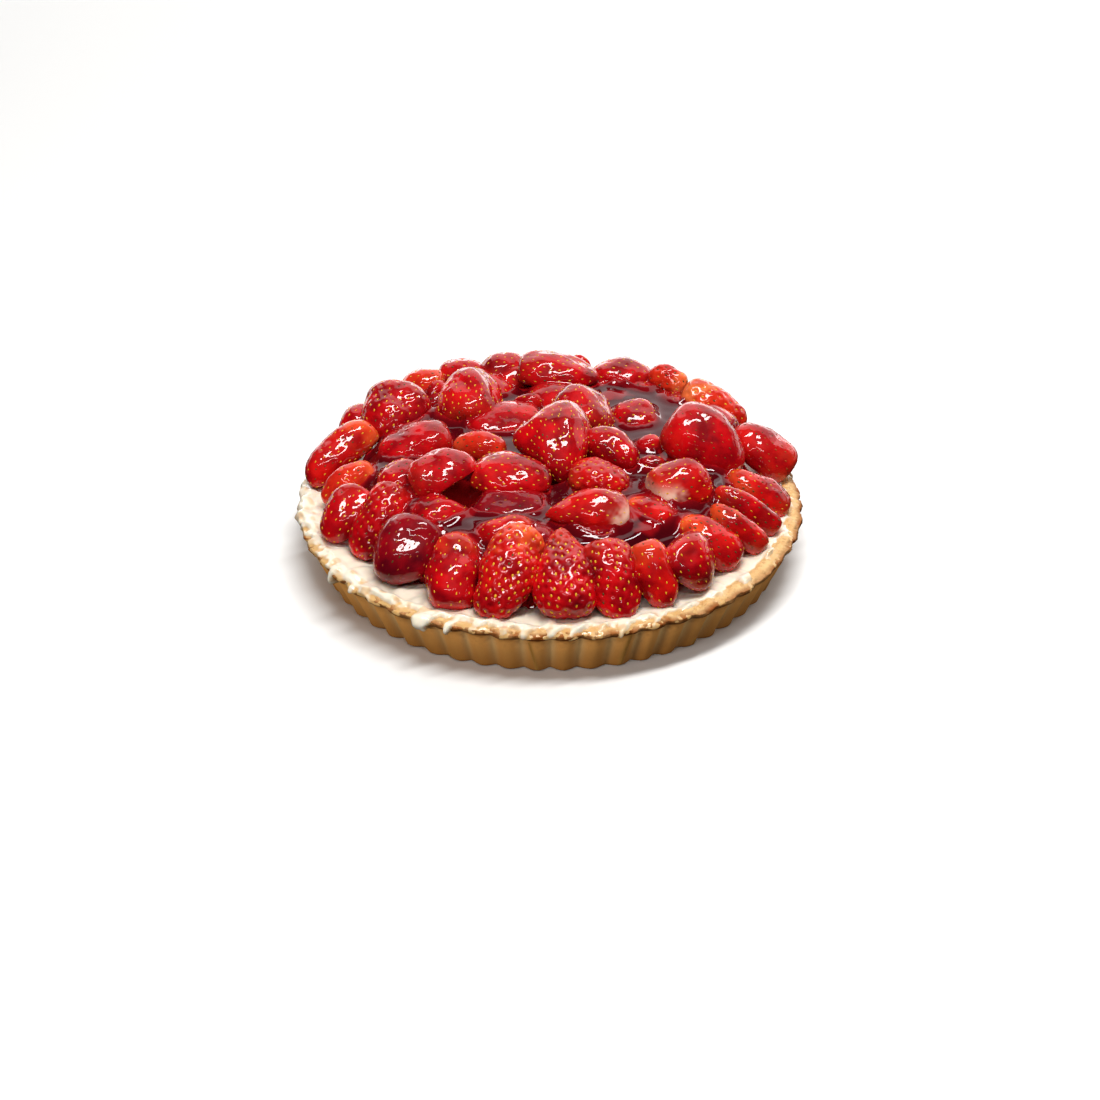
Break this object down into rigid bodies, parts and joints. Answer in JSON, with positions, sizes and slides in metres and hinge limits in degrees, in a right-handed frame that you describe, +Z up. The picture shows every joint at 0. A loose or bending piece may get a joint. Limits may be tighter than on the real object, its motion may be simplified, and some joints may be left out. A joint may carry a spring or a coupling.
{
  "type": "strawberry tart",
  "caption": "Round fluted pastry tart filled with cream and piled with whole, halved and sliced strawberries set in red jelly.",
  "frame": {"origin": "centre of the flat underside of the pastry case, on the surface that the tart stands on", "axes": "+Z up, -Y towards the front of the tart, +X to its right"},
  "size_m": [0.2408, 0.2401, 0.0759],
  "materials": {
    "crust": "matt golden baked shortcrust pastry",
    "cream": "soft gloss white pastry cream",
    "jelly": "wet clear red fruit jelly",
    "berry": "ripe strawberry under a wet glaze"
  },
  "bodies": {
    "root": {"crust": "crust", "cream": "cream", "jelly": "jelly", "crown_1": "berry", "crown_2": "berry", "crown_3": "berry", "crown_4": "berry", "crown_5": "berry", "crown_6": "berry", "crown_7": "berry", "crown_8": "berry", "crown_9": "berry", "crown_10": "berry", "crown_11": "berry", "crown_12": "berry", "crown_13": "berry", "crown_14": "berry", "crown_15": "berry", "crown_16": "berry", "crown_17": "berry", "outer_1": "berry", "outer_2": "berry", "outer_3": "berry", "outer_4": "berry", "outer_5": "berry", "outer_6": "berry", "outer_7": "berry", "outer_8": "berry", "outer_9": "berry", "outer_10": "berry", "outer_11": "berry", "outer_12": "berry", "outer_13": "berry", "outer_14": "berry", "outer_15": "berry", "outer_16": "berry", "back_1": "berry", "back_2": "berry", "back_3": "berry", "back_4": "berry", "back_5": "berry", "back_6": "berry", "back_7": "berry", "back_8": "berry", "back_9": "berry", "back_10": "berry", "back_11": "berry", "back_12": "berry", "back_13": "berry", "back_14": "berry", "back_15": "berry", "back_16": "berry", "back_17": "berry", "low_1": "berry", "low_2": "berry", "low_3": "berry", "low_4": "berry", "low_5": "berry", "low_6": "berry", "low_7": "berry"}
  },
  "joints": []
}
